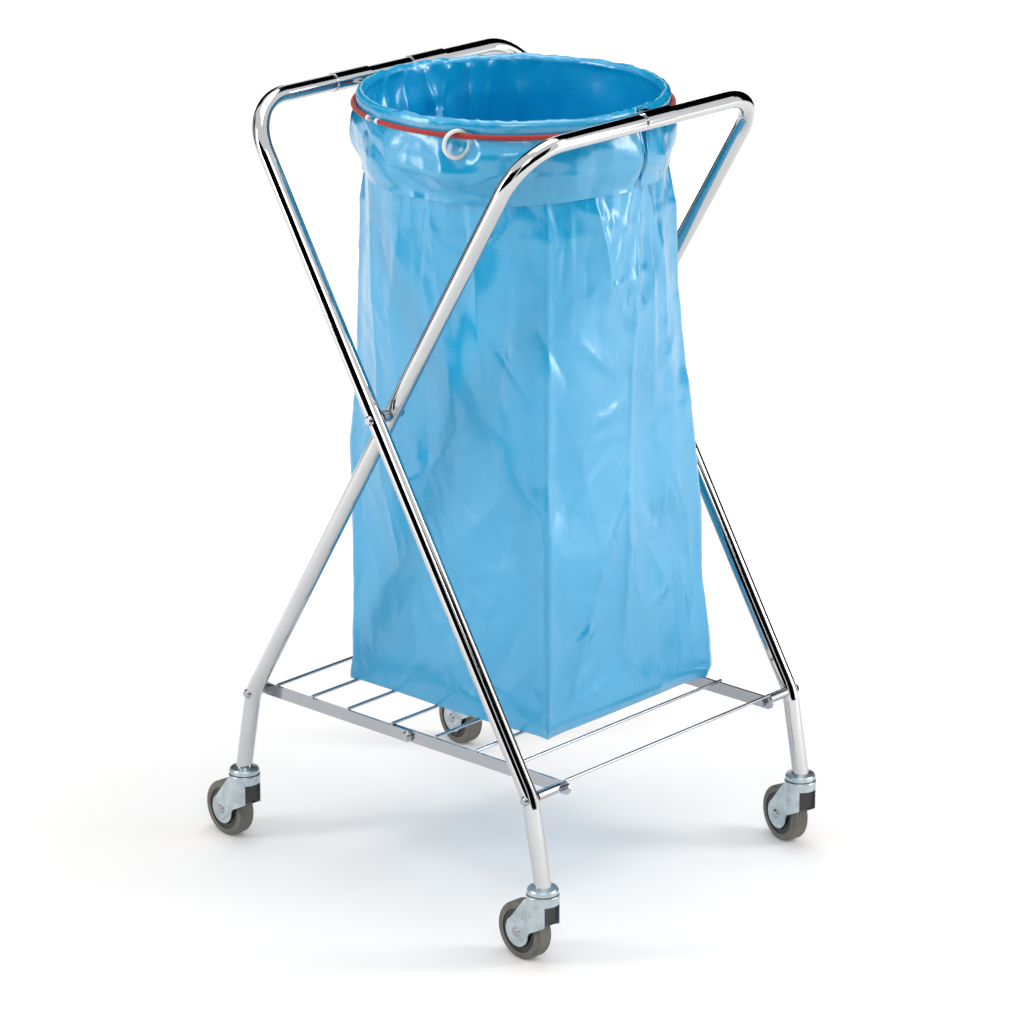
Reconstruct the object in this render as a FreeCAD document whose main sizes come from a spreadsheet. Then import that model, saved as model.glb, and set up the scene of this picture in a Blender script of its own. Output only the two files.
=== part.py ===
import FreeCAD, Part
import math
import os
from FreeCAD import Placement, Rotation, Vector

# Folding X-frame trolley that holds a waste bag open on a ring, with a
# fold-up wire shelf and four swivel castors. Millimetres, Z up, floor at Z 0.
# X is the way the two tube frames open and close, Y runs along the top bars.

doc = FreeCAD.newDocument("bag_trolley")
sheet = doc.addObject("Spreadsheet::Sheet", "Sizes")

SIZES = [
    # tube frames
    ("tube_dia", 20), ("tube_wall", 1.5),
    ("bar_height", 945), ("bar_half_gap", 203),
    ("knee_height", 200), ("knee_half_gap", 241),
    ("foot_height", 98), ("foot_half_gap", 260),
    ("outer_half_width", 236), ("frame_gap", 8),
    ("corner_radius", 62), ("knee_radius", 60),
    # bolts, nuts and spacer tubes
    ("bolt_dia", 6), ("bolt_play", 0.05), ("head_dia", 12), ("head_height", 3.5),
    ("nut_across", 10), ("nut_height", 5), ("spacer_dia", 12), ("cross_spacer_dia", 14),
    ("side_gap", 0.3),
    # shelf of flat bars and wires
    ("strip_height", 15), ("strip_thick", 3), ("strip_gap", 0.5), ("inner_strip_face", 186),
    ("strip_reach", 15), ("stub_reach", 33),
    ("wire_dia", 4), ("wire_over", 0.5), ("stop_wire_lift", 0.05),
    ("left_wire_a", 97), ("left_wire_b", 158), ("left_wire_c", 217),
    ("stop_wire", 24), ("right_wire_a", 44), ("right_wire_b", 110),
    ("right_wire_c", 173), ("end_wire_past", 8),
    # bag ring with its two hinge brackets and its clip
    ("ring_radius", 178), ("ring_rod_dia", 8), ("ring_over_bar", 3),
    ("sleeve_wall", 1.5), ("sleeve_length", 56), ("sleeve_centre", 65),
    ("strap_width", 12), ("strap_thick", 3),
    ("clip_length", 48), ("clip_centre", 17), ("clip_wall", 1.7), ("clip_strap", 12),
    ("clip_open_from", -10), ("clip_open_to", 134), ("clip_overlap", 4),
    # plastic bag
    ("film", 0.8), ("soft_gap", 0.3), ("cuff_drop", 96), ("bag_neck", 6), ("notch_spread", 9),
    ("bag_front", -114), ("bag_back", 180), ("bag_left", -163), ("bag_right", 158), ("bag_corner", 14),
    ("bag_corner_angle", 5),
    # elastic band, its hook and the pull ring
    ("band_dia", 6), ("band_under_ring", 10), ("band_joint_angle", 253), ("band_joint_span", 5),
    ("band_hook_dia", 2.2), ("band_cap_dia", 6.4), ("band_cap_span", 1.6),
    ("pull_radius", 15.6), ("pull_rod_dia", 4.8), ("pull_gap", 0.5),
    ("pull_angle", 293), ("pull_turn", 45), ("pull_aside", 2),
    # castors
    ("wheel_dia", 70), ("tread_width", 21), ("tyre_depth", 8.5), ("tyre_round", 3),
    ("hub_width", 19), ("hub_dish", 4), ("hub_dish_dia", 40), ("boss_dia", 16),
    ("axle_dia", 8), ("axle_head_dia", 12), ("axle_head", 2.5), ("wheel_play", 0.05),
    ("castor_trail", 30), ("fork_inner_width", 23.6), ("fork_plate", 2.4),
    ("disc_radius", 18.5), ("disc_thick", 1), ("crown_dia", 39), ("crown_low", 77.5), ("crown_top", 88.5),
    ("skirt_low", 52), ("skirt_back", 12), ("race_dia", 32), ("cup_dia", 37), ("cup_low", 90),
    ("cup_top", 96), ("neck_dia", 21), ("kingpin_dia", 8), ("kingpin_depth", 8),
    ("stem_dia", 10), ("stem_height", 14), ("guard_length", 11), ("guard_low", 54),
    ("turn_front", -4.6), ("turn_right", -16), ("turn_left", -5.6), ("turn_back", -10),
]
for row, (alias, value) in enumerate(SIZES, start=1):
    sheet.set("A%d" % row, alias)
    sheet.set("B%d" % row, str(value))
    sheet.setAlias("B%d" % row, alias)
doc.recompute()


def size(alias):
    return float(sheet.get(alias))


# Values worked out from the sheet
TUBE_R = size("tube_dia") / 2
INNER_HALF = size("outer_half_width") - size("tube_dia") - size("frame_gap")
SLOPE = (size("bar_half_gap") + size("knee_half_gap")) / (size("bar_height") - size("knee_height"))
CROSS_Z = size("bar_height") - size("bar_half_gap") / SLOPE
WHEEL_R = size("wheel_dia") / 2

# The trailing wheels reach further than the legs, so the frame stands off the
# origin by half the difference and the origin is the middle of the whole.
turn = -math.radians(size("turn_left"))
reach_left = (size("castor_trail") + WHEEL_R - size("tyre_round")) * math.cos(turn)
reach_left += (size("tread_width") / 2 - size("tyre_round")) * math.sin(turn) + size("tyre_round")
turn = -math.radians(size("turn_right"))
axle_end = size("fork_inner_width") / 2 + size("fork_plate") + size("axle_head")
reach_far = size("castor_trail") * math.sin(turn) + axle_end * math.cos(turn)
reach_far += size("axle_head_dia") / 2 * math.sin(turn)
MIDDLE_OFF = Vector((reach_left - size("crown_dia") / 2) / 2, (size("crown_dia") / 2 - reach_far) / 2, 0)

made = []


def seat(obj, label, base=None, angle=0.0, own=None):
    """Names a finished sub-part and puts it in the trolley's frame."""
    base = base or Vector(0, 0, 0)
    place = Placement(base + MIDDLE_OFF, Rotation(Vector(0, 0, 1), angle))
    obj.Label = label
    obj.Placement = place.multiply(own) if own else place
    made.append(obj)
    return obj


def feature(label, shape, base=None, angle=0.0):
    obj = doc.addObject("Part::Feature", label)
    obj.Shape = shape
    return seat(obj, label, base, angle, shape.Placement)


def outward(kind, name, props, x, z, start, side):
    """A primitive along Y that grows outward from |y| = start on one side."""
    obj = doc.addObject(kind, name)
    obj.Placement = Placement(Vector(), Rotation(Vector(1, 0, 0), -90 * side))
    for prop, text in props.items():
        if isinstance(text, str):
            obj.setExpression(prop, text)
        else:
            setattr(obj, prop, text)
    obj.setExpression("Placement.Base.x", x)
    obj.setExpression("Placement.Base.y", "%d * (%s)" % (side, start))
    obj.setExpression("Placement.Base.z", z)
    return obj


def join(kind, name, parts):
    obj = doc.addObject(kind, name)
    if kind == "Part::Cut":
        obj.Base, obj.Tool = parts
    elif kind == "Part::Compound":
        obj.Links = parts
    else:
        obj.Shapes = parts
    return obj


def pair(label, make):
    """Near and far copies of one fastener, as two solids of one sub-part."""
    return seat(join("Part::Compound", label, [make(-1), make(1)]), label)


# Bent tubes
def rounded_path(points, radii):
    """Straight runs joined by tangent arcs of the given radii."""
    edges = []
    start = points[0]
    for i in range(1, len(points) - 1):
        p = points[i]
        a = (points[i - 1] - p).normalize()
        b = (points[i + 1] - p).normalize()
        half = a.getAngle(b) / 2
        tangent = radii[i - 1] / math.tan(half)
        middle = (a + b).normalize() * (radii[i - 1] / math.sin(half) - radii[i - 1])
        edges.append(Part.LineSegment(start, p + a * tangent).toShape())
        edges.append(Part.Arc(p + a * tangent, p + middle, p + b * tangent).toShape())
        start = p + b * tangent
    edges.append(Part.LineSegment(start, points[-1]).toShape())
    return Part.Wire(edges)


def swept(path, radius, points):
    disc = Part.Wire([Part.makeCircle(radius, points[0], points[1] - points[0])])
    return path.makePipeShell([disc], True, False)


def y_hole(x, z, radius):
    reach = size("outer_half_width") + size("tube_dia")
    return Part.makeCylinder(radius, 2 * reach, Vector(x, -reach, z), Vector(0, 1, 0))


def bent_frame(sign, half_width):
    """U frame: top bar at x = -sign * bar_half_gap, feet at x = sign * foot_half_gap."""
    top_x = -sign * size("bar_half_gap")
    knee_x = sign * size("knee_half_gap")
    foot_x = sign * size("foot_half_gap")
    knee = Vector(knee_x, 0, size("knee_height"))
    down = (Vector(foot_x, 0, size("foot_height")) - knee).normalize()
    end = Vector(foot_x, 0, size("foot_height")) + down * size("tube_dia")
    run = [end, knee, Vector(top_x, 0, size("bar_height"))]
    y = Vector(0, half_width, 0)
    points = [p - y for p in run] + [p + y for p in reversed(run)]
    radii = [size("knee_radius"), size("corner_radius"), size("corner_radius"), size("knee_radius")]
    path = rounded_path(points, radii)
    tube = swept(path, TUBE_R, points).cut(swept(path, TUBE_R - size("tube_wall"), points))
    hole = size("bolt_dia") / 2 + size("bolt_play")
    tube = tube.cut(y_hole(0, CROSS_Z, hole)).cut(y_hole(knee_x, size("knee_height"), hole))
    # the feet are cut level, where the castor necks bear on them
    floor = Part.makeBox(4 * size("tube_dia"), 4 * half_width, size("foot_height"),
                         Vector(foot_x - 2 * size("tube_dia"), -2 * half_width, 0))
    return tube.cut(floor)


feature("outer_frame_tube", bent_frame(1, size("outer_half_width")))
feature("inner_frame_tube", bent_frame(-1, INNER_HALF))

# Faces along Y that the fasteners and strips line up with, as expressions
OUTER_OUT = "Sizes.outer_half_width + Sizes.tube_dia / 2"
OUTER_IN = "Sizes.outer_half_width - Sizes.tube_dia / 2"
INNER_OUT = "Sizes.outer_half_width - Sizes.tube_dia / 2 - Sizes.frame_gap"
INNER_IN = "(%s) - Sizes.tube_dia" % INNER_OUT
RIGHT_OUT = "Sizes.inner_strip_face"
RIGHT_IN = "Sizes.inner_strip_face - Sizes.strip_thick"
LEFT_IN = "Sizes.inner_strip_face + Sizes.strip_gap"
LEFT_OUT = "Sizes.inner_strip_face + Sizes.strip_gap + Sizes.strip_thick"
CROSS_HEIGHT = ("Sizes.bar_height - Sizes.bar_half_gap * (Sizes.bar_height - Sizes.knee_height)"
                " / (Sizes.bar_half_gap + Sizes.knee_half_gap)")


def bolt(name, x, z, tip, seat_face):
    """Shank from |y| = tip out to the seat, then the head."""
    def make(side):
        shank = outward("Part::Cylinder", name + "_shank", {
            "Radius": "Sizes.bolt_dia / 2", "Height": "(%s) - (%s)" % (seat_face, tip)}, x, z, tip, side)
        head = outward("Part::Cone", name + "_head", {
            "Radius1": "Sizes.head_dia / 2", "Radius2": "Sizes.head_dia / 3",
            "Height": "Sizes.head_height"}, x, z, seat_face, side)
        return join("Part::MultiFuse", name + "_one", [shank, head])
    return make


def nut(name, x, z, face):
    """Hexagon nut whose outward face is at |y| = face."""
    low = "(%s) - Sizes.nut_height" % face

    def make(side):
        body = outward("Part::Prism", name + "_hexagon", {
            "Polygon": 6, "Circumradius": "Sizes.nut_across / 2 / cos(30 deg)",
            "Height": "Sizes.nut_height"}, x, z, low, side)
        bore = outward("Part::Cylinder", name + "_bore", {
            "Radius": "Sizes.bolt_dia / 2", "Height": "Sizes.nut_height"}, x, z, low, side)
        return join("Part::Cut", name + "_one", [body, bore])
    return make


def spacer(name, x, z, low, high, dia):
    def make(side):
        tall = "(%s) - (%s)" % (high, low)
        body = outward("Part::Cylinder", name + "_body", {"Radius": dia + " / 2", "Height": tall}, x, z, low, side)
        bore = outward("Part::Cylinder", name + "_bore", {
            "Radius": "Sizes.bolt_dia / 2", "Height": tall}, x, z, low, side)
        return join("Part::Cut", name + "_one", [body, bore])
    return make


KNEE_Z = "Sizes.knee_height"
RIGHT_X = "Sizes.knee_half_gap"
LEFT_X = "-Sizes.knee_half_gap"
GAP = " - Sizes.side_gap"

# The two frames turn on a bolt through each pair of legs
pair("cross_bolts", bolt("cross_bolt", "0", CROSS_HEIGHT,
                         "(%s)%s - Sizes.nut_height" % (INNER_IN, GAP), OUTER_OUT))
pair("cross_nuts", nut("cross_nut", "0", CROSS_HEIGHT, "(%s)%s" % (INNER_IN, GAP)))
pair("cross_spacers", spacer("cross_spacer", "0", CROSS_HEIGHT,
                             "(%s) + Sizes.side_gap" % INNER_OUT, OUTER_IN, "Sizes.cross_spacer_dia"))
# The right half of the shelf hangs on the outer frame's legs
pair("outer_leg_bolts", bolt("outer_leg_bolt", RIGHT_X, KNEE_Z,
                             "(%s)%s - Sizes.nut_height" % (RIGHT_IN, GAP), OUTER_OUT))
pair("outer_leg_nuts", nut("outer_leg_nut", RIGHT_X, KNEE_Z, "(%s)%s" % (RIGHT_IN, GAP)))
pair("outer_leg_spacers", spacer("outer_leg_spacer", RIGHT_X, KNEE_Z,
                                 "(%s) + Sizes.side_gap" % RIGHT_OUT, OUTER_IN, "Sizes.spacer_dia"))
# The left half hangs on the inner frame's legs
pair("inner_leg_bolts", bolt("inner_leg_bolt", LEFT_X, KNEE_Z,
                             "(%s)%s - Sizes.nut_height" % (LEFT_IN, GAP), INNER_OUT))
pair("inner_leg_nuts", nut("inner_leg_nut", LEFT_X, KNEE_Z, "(%s)%s" % (LEFT_IN, GAP)))
pair("inner_leg_spacers", spacer("inner_leg_spacer", LEFT_X, KNEE_Z,
                                 "(%s) + Sizes.side_gap" % LEFT_OUT, INNER_IN, "Sizes.spacer_dia"))
# The halves meet at a bolt in the middle, whose shank is parted between them
MIDDLE = "Sizes.inner_strip_face + Sizes.strip_gap / 2"


def half_pin(name, low, high):
    def make(side):
        return outward("Part::Cylinder", name + "_shank", {
            "Radius": "Sizes.bolt_dia / 2", "Height": "(%s) - (%s)" % (high, low)}, "0", KNEE_Z, low, side)
    return make


pair("middle_bolts", bolt("middle_bolt", "0", KNEE_Z, MIDDLE + " + Sizes.bolt_play", LEFT_OUT))


def middle_nut(side):
    hexagon = nut("middle_nut", "0", KNEE_Z, RIGHT_IN)(side)
    shank = half_pin("middle_nut", "(%s) - Sizes.nut_height" % RIGHT_IN, MIDDLE + " - Sizes.bolt_play")(side)
    return join("Part::MultiFuse", "middle_nut_and_shank", [hexagon, shank])


pair("middle_nuts", middle_nut)


# Flat strips of the shelf, with round ends and pivot holes
def strip(label, side, inner_face, low_x, high_x, holes, fits):
    half = "Sizes.strip_height / 2"

    def plate(name, start, length):
        obj = doc.addObject("Part::Box", name)
        obj.setExpression("Length", length)
        obj.setExpression("Width", "Sizes.strip_thick")
        obj.setExpression("Height", "Sizes.strip_height")
        obj.setExpression("Placement.Base.x", start)
        face = "%s" % inner_face if side > 0 else "-(%s) - Sizes.strip_thick" % inner_face
        obj.setExpression("Placement.Base.y", face)
        obj.setExpression("Placement.Base.z", "Sizes.knee_height - " + half)
        return obj

    pieces = [plate(label + "_plate", "(%s) + %s" % (low_x, half),
                    "(%s) - (%s) - Sizes.strip_height" % (high_x, low_x))]
    for tag, x in (("low", "(%s) + %s" % (low_x, half)), ("high", "(%s) - %s" % (high_x, half))):
        pieces.append(outward("Part::Cylinder", label + "_" + tag, {
            "Radius": half, "Height": "Sizes.strip_thick"}, x, KNEE_Z, inner_face, side))
    body = join("Part::MultiFuse", label + "_blank", pieces)
    body.Refine = True
    bores = []
    for i, (x, fit) in enumerate(zip(holes, fits)):
        bores.append(outward("Part::Cylinder", "%s_hole_%d" % (label, i), {
            "Radius": "Sizes.bolt_dia / 2" + fit, "Height": "Sizes.strip_thick"}, x, KNEE_Z, inner_face, side))
    tool = join("Part::MultiFuse", label + "_holes", bores)
    return seat(join("Part::Cut", label, [body, tool]), label)


PLAY = " + Sizes.bolt_play"
HALF = "Sizes.strip_height / 2"
for side, word in ((-1, "near"), (1, "far")):
    strip("left_strip_" + word, side, LEFT_IN, "-Sizes.knee_half_gap - " + HALF, HALF,
          (LEFT_X, "0"), (PLAY, ""))
    strip("right_strip_" + word, side, RIGHT_IN, "-Sizes.stub_reach", "Sizes.knee_half_gap + Sizes.strip_reach",
          (RIGHT_X, "0"), (PLAY, ""))


def wires(label, places):
    """Round wires along Y, welded on the strips' top edges."""
    parts = []
    for i, (x, half_length, lift) in enumerate(places):
        obj = doc.addObject("Part::Cylinder", "%s_%d" % (label, i))
        obj.Placement = Placement(Vector(), Rotation(Vector(1, 0, 0), -90))
        obj.setExpression("Radius", "Sizes.wire_dia / 2")
        obj.setExpression("Height", "2 * (%s)" % half_length)
        obj.setExpression("Placement.Base.x", x)
        obj.setExpression("Placement.Base.y", "-(%s)" % half_length)
        obj.setExpression("Placement.Base.z",
                          "Sizes.knee_height + (Sizes.strip_height + Sizes.wire_dia) / 2" + lift)
        parts.append(obj)
    return seat(join("Part::Compound", label, parts), label)


WIDE = LEFT_OUT + " + Sizes.wire_over"
wires("left_wires", [("-Sizes." + n, WIDE, "") for n in ("left_wire_a", "left_wire_b", "left_wire_c")])
# the last wire lies just past the legs' bolts
wires("right_wires", [(x, RIGHT_OUT, "") for x in ("Sizes.right_wire_a", "Sizes.right_wire_b", "Sizes.right_wire_c",
                                                   "Sizes.knee_half_gap + Sizes.end_wire_past")])
# the stop wire lies across both halves and keeps the shelf level
wires("stop_wire", [("-Sizes.stop_wire", WIDE, " + Sizes.stop_wire_lift")])

# Bag ring: hinged on the left bar by two brackets, and lying level with its
# clip over the right bar. Drawn from the hinge side, in the ring's own plane.
RING_FRAME = Placement(Vector(-size("bar_half_gap"), 0, size("bar_height") + size("ring_over_bar")), Rotation())
ring_r = size("ring_radius")
rod_r = size("ring_rod_dia") / 2
centre = Vector(size("bar_half_gap"), 0, 0)
bar_drop = size("ring_over_bar")
Y = Vector(0, 1, 0)


def level(shape):
    """From the ring's own frame to the trolley's."""
    shape = shape.copy()
    shape.Placement = RING_FRAME.multiply(shape.Placement)
    return shape


rod = Part.makeTorus(ring_r, rod_r, centre)
feature("ring_rod", level(rod))

bar_fit = TUBE_R + size("bolt_play")
sleeve_r = bar_fit + size("sleeve_wall")
thick, wide = size("strap_thick"), size("strap_width")


def strap_box(y, grow=0.0):
    """Flat strap from a hinge sleeve to the ring rod."""
    end = size("bar_half_gap") - math.sqrt(ring_r ** 2 - y ** 2)
    return Part.makeBox(end + 2 * rod_r, wide + 2 * grow, thick + 2 * grow,
                        Vector(0, y - wide / 2 - grow, -bar_drop - thick / 2 - grow))


def bracket(y):
    length = size("sleeve_length")
    corner = Vector(0, y - length / 2, -bar_drop)
    sleeve = Part.makeCylinder(sleeve_r, length, corner, Y)
    bore = Part.makeCylinder(bar_fit, length, corner, Y)
    # the strap is welded to the outer half of the rod and ends under it
    inside = Part.makeCylinder(ring_r, 2 * thick, centre - Vector(0, 0, bar_drop + thick))
    return sleeve.fuse(strap_box(y)).cut(bore).cut(rod).cut(inside)


feature("ring_bracket_near", level(bracket(-size("sleeve_centre"))))
feature("ring_bracket_far", level(bracket(size("sleeve_centre"))))

# The clip is an arch over the right bar, with a strap to the top of the rod
clip_in = TUBE_R + size("side_gap")
clip_out = clip_in + size("clip_wall")
bar_at = Vector(2 * size("bar_half_gap"), 0, -bar_drop)


def clip_arch():
    low, high = math.radians(size("clip_open_from")), math.radians(size("clip_open_to"))
    mid = (low + high) / 2

    def at(radius, angle):
        return bar_at + Vector(radius * math.cos(angle), 0, radius * math.sin(angle))

    face = Part.Face(Part.Wire([
        Part.Arc(at(clip_in, low), at(clip_in, mid), at(clip_in, high)).toShape(),
        Part.LineSegment(at(clip_in, high), at(clip_out, high)).toShape(),
        Part.Arc(at(clip_out, high), at(clip_out, mid), at(clip_out, low)).toShape(),
        Part.LineSegment(at(clip_out, low), at(clip_in, low)).toShape()]))
    face.translate(Vector(0, size("clip_centre") - size("clip_length") / 2, 0))
    return face.extrude(Vector(0, size("clip_length"), 0))


def clip_strap(grow=0.0):
    start = size("bar_half_gap") + ring_r - size("clip_overlap") - grow
    width = size("clip_strap") + 2 * grow
    return Part.makeBox(bar_at.x - start, width, size("clip_wall") + 2 * grow,
                        Vector(start, size("clip_centre") - width / 2, rod_r - grow))


bar_room = Part.makeCylinder(clip_in, 4 * ring_r, bar_at - Y * 2 * ring_r, Y)
feature("ring_clip", level(clip_arch().fuse(clip_strap()).cut(bar_room)))

# Bag: film over the ring, a cuff outside it and a square body down to the
# shelf. The film is thicker than the real one, so that it is a solid.
film, soft = size("film"), size("soft_gap")
inner_r = ring_r - rod_r - soft
cuff_r = ring_r + rod_r + soft
over = rod_r + soft
drop, neck = size("cuff_drop"), size("bag_neck")


def turned(points):
    outline = [Vector(x, 0, z) for x, z in points]
    face = Part.Face(Part.makePolygon(outline + outline[:1]))
    return face.revolve(Vector(0, 0, 0), Vector(0, 0, 1), 360).translated(centre)


collar = turned([(inner_r - film, -neck), (inner_r - film, over + film), (cuff_r + film, over + film),
                 (cuff_r + film, -drop), (cuff_r, -drop), (cuff_r, over), (inner_r, over), (inner_r, -neck)])
# corners of the bag's foot, anticlockwise from the back right one, seen from above
CORNERS = [(size("bag_right"), size("bag_back"), 1, 1), (size("bag_left"), size("bag_back"), -1, 1),
           (size("bag_left"), size("bag_front"), -1, -1), (size("bag_right"), size("bag_front"), 1, -1)]


def square_wire(inset, z):
    r = size("bag_corner") - inset
    c = r * (1 - math.sqrt(0.5))
    edges = []
    ends = []
    for corner_x, corner_y, sx, sy in CORNERS:
        x, y = corner_x - sx * inset, corner_y - sy * inset
        first = Vector(x, y - sy * r, z) if sx * sy > 0 else Vector(x - sx * r, y, z)
        last = Vector(x - sx * r, y, z) if sx * sy > 0 else Vector(x, y - sy * r, z)
        edges.append(Part.Arc(first, Vector(x - sx * c, y - sy * c, z), last).toShape())
        ends.append((first, last))
        if len(ends) > 1:
            edges.insert(-1, Part.LineSegment(ends[-2][1], first).toShape())
    edges.append(Part.LineSegment(ends[-1][1], ends[0][0]).toShape())
    return Part.Wire(edges)


def round_wire(radius, z):
    """Circle under the ring, cut into eight edges that run down to the square's."""
    def at(degrees):
        a = math.radians(degrees)
        return RING_FRAME.multVec(centre + Vector(radius * math.cos(a), radius * math.sin(a), z))

    cuts = []
    for x, y, _, _ in CORNERS:
        towards = math.degrees(math.atan2(y, x)) % 360
        cuts += [towards - size("bag_corner_angle"), towards + size("bag_corner_angle")]
    ends = cuts[1:] + [cuts[0] + 360]
    return Part.Wire([Part.Arc(at(a), at((a + b) / 2), at(b)).toShape() for a, b in zip(cuts, ends)])


bag_floor = size("knee_height") + size("strip_height") / 2 + size("wire_dia") + soft
outer_loft = Part.makeLoft([square_wire(0, bag_floor), round_wire(inner_r, -neck)], True, True)
inner_loft = Part.makeLoft([square_wire(film, bag_floor + film), round_wire(inner_r - film, -neck)], True, True)
mouth = level(Part.makeCylinder(inner_r - film, neck, centre - Vector(0, 0, neck)))
bag = outer_loft.cut(inner_loft).fuse(level(collar)).cut(mouth)

# Elastic band round the cuff: its two ends are capped and hooked together
band_r = cuff_r + film + soft + size("band_dia") / 2
band_z = -size("band_under_ring")


def band_piece(dia, start, span):
    """Part of the band's circle, from start over span degrees."""
    disc = Part.Face(Part.Wire([Part.makeCircle(dia / 2, Vector(band_r, 0, 0), Vector(0, 1, 0))]))
    piece = disc.revolve(Vector(0, 0, 0), Vector(0, 0, 1), span)
    piece.rotate(Vector(0, 0, 0), Vector(0, 0, 1), start)
    return level(piece.translated(centre + Vector(0, 0, band_z)))


joint, span = size("band_joint_angle"), size("band_joint_span")
cap = size("band_cap_span")
feature("elastic_band", band_piece(size("band_dia"), joint + span / 2 + cap, 360 - span - 2 * cap))
hook = band_piece(size("band_hook_dia"), joint - span / 2, span)
feature("band_hook", hook)
caps = [band_piece(size("band_cap_dia"), joint + span / 2, cap),
        band_piece(size("band_cap_dia"), joint - span / 2 - cap, cap)]
feature("band_caps", Part.makeCompound(caps))

# Pull ring, threaded on the band and hanging from it, one side to the cuff
pull_at = math.radians(size("pull_angle"))
radial = Vector(math.cos(pull_at), math.sin(pull_at), 0)
tangent = Vector(-math.sin(pull_at), math.cos(pull_at), 0)
swing = math.radians(size("pull_turn"))
across = tangent * math.cos(swing) - radial * math.sin(swing)
room = size("pull_radius") - size("pull_rod_dia") / 2 - size("band_dia") / 2 - size("pull_gap")
hang = math.sqrt(room ** 2 - size("pull_aside") ** 2)
pull_middle = centre + radial * band_r - across * size("pull_aside") + Vector(0, 0, band_z - hang)


def pull_ring(grow=0.0):
    normal = radial * math.cos(swing) + tangent * math.sin(swing)
    return level(Part.makeTorus(size("pull_radius"), size("pull_rod_dia") / 2 + grow, pull_middle, normal))


feature("pull_ring", pull_ring())


def notch(x, y, width, top):
    """Room under a strap, where the cuff parts and hangs down on both sides."""
    spread = size("notch_spread")
    half = width / 2 + soft
    points = [(y - half, top), (y - half - spread, -drop - 1), (y + half + spread, -drop - 1), (y + half, top)]
    outline = [Vector(x, b, c) for b, c in points]
    return Part.Face(Part.makePolygon(outline + outline[:1])).extrude(Vector(cuff_r - inner_r + 30, 0, 0))


bag_cuts = []
for y in (-size("sleeve_centre"), size("sleeve_centre")):
    start = size("bar_half_gap") - math.sqrt(ring_r ** 2 - y ** 2) - rod_r - 8
    bag_cuts.append(notch(start, y, wide, -bar_drop + thick / 2 + soft).common(
        Part.makeCylinder(cuff_r + 2 * film, 3 * drop, centre - Vector(0, 0, 2 * drop)).cut(
            Part.makeCylinder(ring_r, 3 * drop, centre - Vector(0, 0, 2 * drop)))))
# over the clip's strap the film makes a small step
step = clip_strap(soft + film).common(Part.makeCylinder(cuff_r + film, drop, centre))
clip_cuts = [clip_strap(soft), notch(size("bar_half_gap") + ring_r, size("clip_centre"), size("clip_strap"),
                                     rod_r + size("clip_wall") + soft)]
bag = bag.fuse(level(step))
for cut in bag_cuts + clip_cuts:
    bag = bag.cut(level(cut))
bag = bag.cut(pull_ring(soft)).cut(level(Part.makeTorus(ring_r, rod_r + soft / 2, centre)))
feature("bag", sorted(bag.Solids, key=lambda solid: solid.Volume)[-1])

# Castors: each is drawn round its own swivel axis, with the wheel trailing
# towards -X, then turned and set under its foot.
FEET = [
    ("front", 1, -size("outer_half_width"), size("turn_front")),
    ("right", 1, size("outer_half_width"), size("turn_right")),
    ("left", -1, -INNER_HALF, size("turn_left")),
    ("back", -1, INNER_HALF, size("turn_back")),
]
plate_in = size("fork_inner_width") / 2
plate_out = plate_in + size("fork_plate")
trail = size("castor_trail")


def cup_shape():
    """Upper bearing cup with its neck, stem and kingpin, all of one turning."""
    r, foot = size("cup_dia") / 2, size("foot_height")
    neck = size("neck_dia") / 2
    dome = [(0, foot + size("stem_height")), (size("stem_dia") / 2, foot + size("stem_height")),
            (size("stem_dia") / 2, foot), (neck, foot), (r - 1.5, size("cup_top")), (r, size("cup_top") - 2),
            (r, size("cup_low")), (size("race_dia") / 2, size("cup_low")),
            (size("race_dia") / 2, size("crown_top") + size("side_gap")),
            (size("kingpin_dia") / 2, size("crown_top") + size("side_gap")),
            (size("kingpin_dia") / 2, size("crown_top") - size("kingpin_depth")),
            (0, size("crown_top") - size("kingpin_depth"))]
    outline = [Vector(x, 0, z) for x, z in dome]
    face = Part.Face(Part.makePolygon(outline + outline[:1]))
    return face.revolve(Vector(0, 0, 0), Vector(0, 0, 1), 360)


def prism(points, low_y, high_y):
    outline = [Vector(x, low_y, z) for x, z in points]
    face = Part.Face(Part.makePolygon(outline + outline[:1]))
    return face.extrude(Vector(0, high_y - low_y, 0))


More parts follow.
